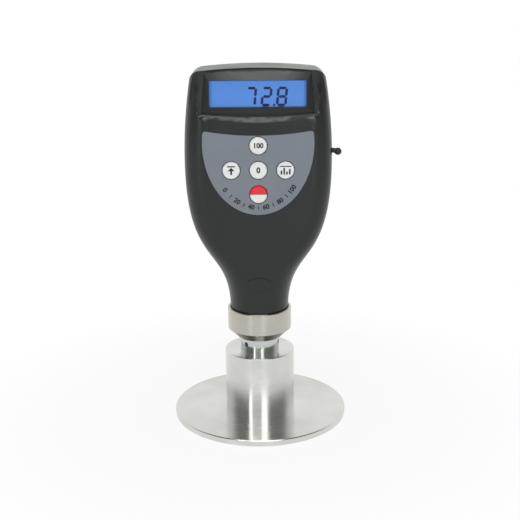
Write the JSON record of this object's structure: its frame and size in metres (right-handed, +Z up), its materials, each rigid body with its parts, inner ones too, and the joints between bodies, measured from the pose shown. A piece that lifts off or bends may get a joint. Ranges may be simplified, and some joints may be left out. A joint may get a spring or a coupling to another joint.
{
  "type": "hardness tester",
  "caption": "Handheld foam hardness tester with a lit display, round keys, a battery door and a spring-loaded flat indenter in a wide turned pressure foot",
  "frame": {"origin": "centre of the underside of the pressure foot, on the probe axis", "axes": "+Z up along the probe axis towards the display; the display and keys face -Y; +X is to the right seen from the front"},
  "size_m": [0.08, 0.08, 0.1621],
  "materials": {
    "case_plastic": "satin",
    "overlay_grey": "satin",
    "key_white": "satin",
    "key_red": "satin",
    "window_clear": "gloss",
    "lcd_blue": "satin",
    "diffuser_white": "satin",
    "frame_plastic": "matte",
    "contact_rubber": "matte",
    "board_green": "satin",
    "chip_black": "satin",
    "component_tan": "satin",
    "bright_metal": "satin",
    "screw_steel": "satin",
    "foot_aluminium": "satin",
    "nose_chrome": "polished",
    "collar_steel": "satin",
    "barrel_steel": "satin",
    "bush_brass": "satin",
    "bobbin_plastic": "satin",
    "copper_wire": "satin",
    "lead_rubber": "matte",
    "plug_rubber": "matte",
    "cell_jacket": "satin",
    "connector_white": "satin"
  },
  "bodies": {
    "tester": {"pressure_foot": "foot_aluminium", "probe_nose": "nose_chrome", "clamp_collar": "collar_steel", "collar_grub_screw": "screw_steel", "probe_barrel": "barrel_steel", "lower_bush": "bush_brass", "upper_bush": "bush_brass", "coil_bobbin": "bobbin_plastic", "coil_winding": "copper_wire", "barrel_cap": "barrel_steel", "sensor_lead": "lead_rubber", "lead_plug": "connector_white", "lead_header": "connector_white", "front_shell": "case_plastic", "rear_shell": "case_plastic", "case_screws": "screw_steel", "keypad_overlay": "overlay_grey", "display_window": "window_clear", "lcd_panel": "lcd_blue", "lcd_backlight": "diffuser_white", "display_frame": "frame_plastic", "contact_strip": "contact_rubber", "main_board": "board_green", "controller_chip": "chip_black", "board_components": "component_tan", "quartz_crystal": "bright_metal", "board_screws": "screw_steel", "key_switches": "bright_metal", "data_socket": "chip_black", "battery_cells": "cell_jacket", "battery_springs": "bright_metal", "battery_contacts": "bright_metal", "measuring_spring": "bright_metal"},
    "indenter": {"indenter_head": "barrel_steel", "plunger_rod": "barrel_steel", "rod_clip": "bright_metal", "spring_seat": "barrel_steel", "sensor_core": "barrel_steel"},
    "door": {"battery_door": "case_plastic"},
    "plug": {"socket_plug": "plug_rubber"},
    "upper_key_body": {"upper_key": "key_white", "upper_switch_plunger": "chip_black"},
    "left_key_body": {"left_key": "key_white", "left_switch_plunger": "chip_black"},
    "centre_key_body": {"centre_key": "key_white", "centre_switch_plunger": "chip_black"},
    "right_key_body": {"right_key": "key_white", "right_switch_plunger": "chip_black"},
    "power_key_body": {"power_key": "key_red", "power_switch_plunger": "chip_black"}
  },
  "joints": [
    {"name": "indenter_slide", "type": "slide", "parent": "tester", "child": "indenter", "axis": [0, 0, 1], "range_m": [-0.00185, 0.00069], "stiffness_N_per_m": 1524, "springref_m": -0.0022, "deforming": ["measuring_spring"]},
    {"name": "battery_door_slide", "type": "slide", "parent": "tester", "child": "door", "axis": [0, 0, 1], "range_m": [0, 0.062]},
    {"name": "socket_plug_pull", "type": "slide", "parent": "tester", "child": "plug", "axis": [1, 0, 0], "range_m": [0, 0.012]},
    {"name": "upper_key_press", "type": "slide", "parent": "tester", "child": "upper_key_body", "axis": [0, 1, 0], "range_m": [0, 0.0005], "stiffness_N_per_m": 2000, "springref_m": -0.0003},
    {"name": "left_key_press", "type": "slide", "parent": "tester", "child": "left_key_body", "axis": [0, 1, 0], "range_m": [0, 0.0005], "stiffness_N_per_m": 2000, "springref_m": -0.0003},
    {"name": "centre_key_press", "type": "slide", "parent": "tester", "child": "centre_key_body", "axis": [0, 1, 0], "range_m": [0, 0.0005], "stiffness_N_per_m": 2000, "springref_m": -0.0003},
    {"name": "right_key_press", "type": "slide", "parent": "tester", "child": "right_key_body", "axis": [0, 1, 0], "range_m": [0, 0.0005], "stiffness_N_per_m": 2000, "springref_m": -0.0003},
    {"name": "power_key_press", "type": "slide", "parent": "tester", "child": "power_key_body", "axis": [0, 1, 0], "range_m": [0, 0.0005], "stiffness_N_per_m": 2000, "springref_m": -0.0003}
  ]
}
